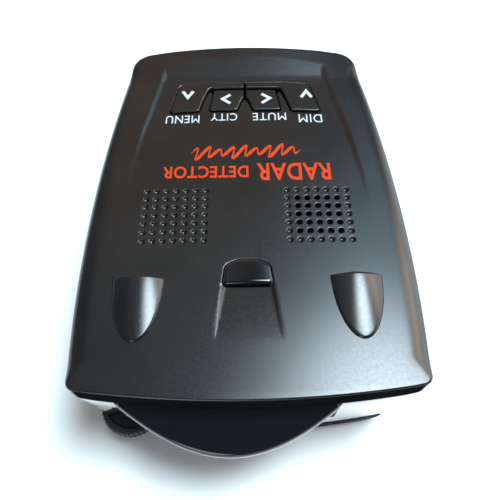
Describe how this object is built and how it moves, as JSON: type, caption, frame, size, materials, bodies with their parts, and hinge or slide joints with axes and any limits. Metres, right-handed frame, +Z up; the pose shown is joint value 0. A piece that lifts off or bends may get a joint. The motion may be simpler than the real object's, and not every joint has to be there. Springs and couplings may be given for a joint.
{
  "type": "radar detector",
  "caption": "Dashboard radar detector with a bulging laser lens, push buttons, speaker grille, rear display window and a volume thumbwheel.",
  "frame": {"origin": "middle of the bounding box in plan, on the plane the rubber feet stand on", "axes": "+Z up; -Y towards the windscreen, where the laser lens is; +Y towards the driver, where the display window is; +X to the right seen from the lens end with +Z up and -Y near"},
  "size_m": [0.0746, 0.1102, 0.032],
  "materials": {
    "board": "solder-masked laminate",
    "case_plastic": "satin spark-grained black",
    "ceramic": "fired ceramic",
    "chip_plastic": "moulded",
    "clear_plastic": "clear moulded",
    "die_cast": "die-cast zinc",
    "felt": "felt",
    "flex": "polyimide film",
    "gloss_plastic": "polished smoked black",
    "label": "printed foil, blank",
    "paper": "pressed pulp",
    "rubber": "matte",
    "steel": "zinc-plated",
    "tin_plate": "tinned sheet",
    "white_plastic": "moulded"
  },
  "bodies": {
    "casing": {"case_screw_1": "steel", "case_screw_2": "steel", "case_screw_3": "steel", "case_screw_4": "steel", "display_cable": "flex", "display_module": "chip_plastic", "display_window": "gloss_plastic", "foot_1": "rubber", "foot_2": "rubber", "foot_3": "rubber", "foot_4": "rubber", "front_panel": "gloss_plastic", "hook_loop_pad": "felt", "horn_antenna": "die_cast", "laser_diode": "chip_plastic", "laser_focus_lens": "clear_plastic", "laser_holder": "chip_plastic", "laser_lens": "gloss_plastic", "light_pipe": "clear_plastic", "light_sensor": "chip_plastic", "lower_case": "case_plastic", "main_board": "board", "power_coil": "chip_plastic", "power_socket": "chip_plastic", "processor": "chip_plastic", "rating_plate": "label", "receiver_shield": "tin_plate", "satellite_antenna": "ceramic", "satellite_receiver": "tin_plate", "smoothing_capacitor": "tin_plate", "socket_pin": "tin_plate", "speaker_basket": "steel", "speaker_cone": "paper", "speaker_gasket": "felt", "speaker_lead_black": "rubber", "speaker_lead_red": "rubber", "speaker_magnet": "tin_plate", "switch_city": "chip_plastic", "switch_dim": "chip_plastic", "switch_menu": "chip_plastic", "switch_mute": "chip_plastic", "top_sensor_lens": "gloss_plastic", "upper_case": "case_plastic", "volume_control": "tin_plate"},
    "button_menu": {"button_menu": "case_plastic"},
    "plunger_menu": {"plunger_menu": "white_plastic"},
    "button_city": {"button_city": "case_plastic"},
    "plunger_city": {"plunger_city": "white_plastic"},
    "button_mute": {"button_mute": "case_plastic"},
    "plunger_mute": {"plunger_mute": "white_plastic"},
    "button_dim": {"button_dim": "case_plastic"},
    "plunger_dim": {"plunger_dim": "white_plastic"},
    "volume_wheel": {"volume_wheel": "rubber"}
  },
  "joints": [
    {"name": "menu_press", "type": "slide", "parent": "casing", "child": "button_menu", "axis": [0, 0, -1], "range_m": [0, 0.0005]},
    {"name": "menu_plunger", "type": "slide", "parent": "casing", "child": "plunger_menu", "axis": [0, 0, -1], "range_m": [0, 0.0005]},
    {"name": "city_press", "type": "slide", "parent": "casing", "child": "button_city", "axis": [0, 0, -1], "range_m": [0, 0.0005]},
    {"name": "city_plunger", "type": "slide", "parent": "casing", "child": "plunger_city", "axis": [0, 0, -1], "range_m": [0, 0.0005]},
    {"name": "mute_press", "type": "slide", "parent": "casing", "child": "button_mute", "axis": [0, 0, -1], "range_m": [0, 0.0005]},
    {"name": "mute_plunger", "type": "slide", "parent": "casing", "child": "plunger_mute", "axis": [0, 0, -1], "range_m": [0, 0.0005]},
    {"name": "dim_press", "type": "slide", "parent": "casing", "child": "button_dim", "axis": [0, 0, -1], "range_m": [0, 0.0005]},
    {"name": "dim_plunger", "type": "slide", "parent": "casing", "child": "plunger_dim", "axis": [0, 0, -1], "range_m": [0, 0.0005]},
    {"name": "volume_turn", "type": "hinge", "parent": "casing", "child": "volume_wheel", "pos_m": [-0.0273, -0.0406, 0.0045], "axis": [0, 0, 1], "range_deg": [0, 270]}
  ],
  "couplings": [
    {"joint": "menu_plunger", "follows": "menu_press", "ratio": 1},
    {"joint": "city_plunger", "follows": "city_press", "ratio": 1},
    {"joint": "mute_plunger", "follows": "mute_press", "ratio": 1},
    {"joint": "dim_plunger", "follows": "dim_press", "ratio": 1}
  ]
}
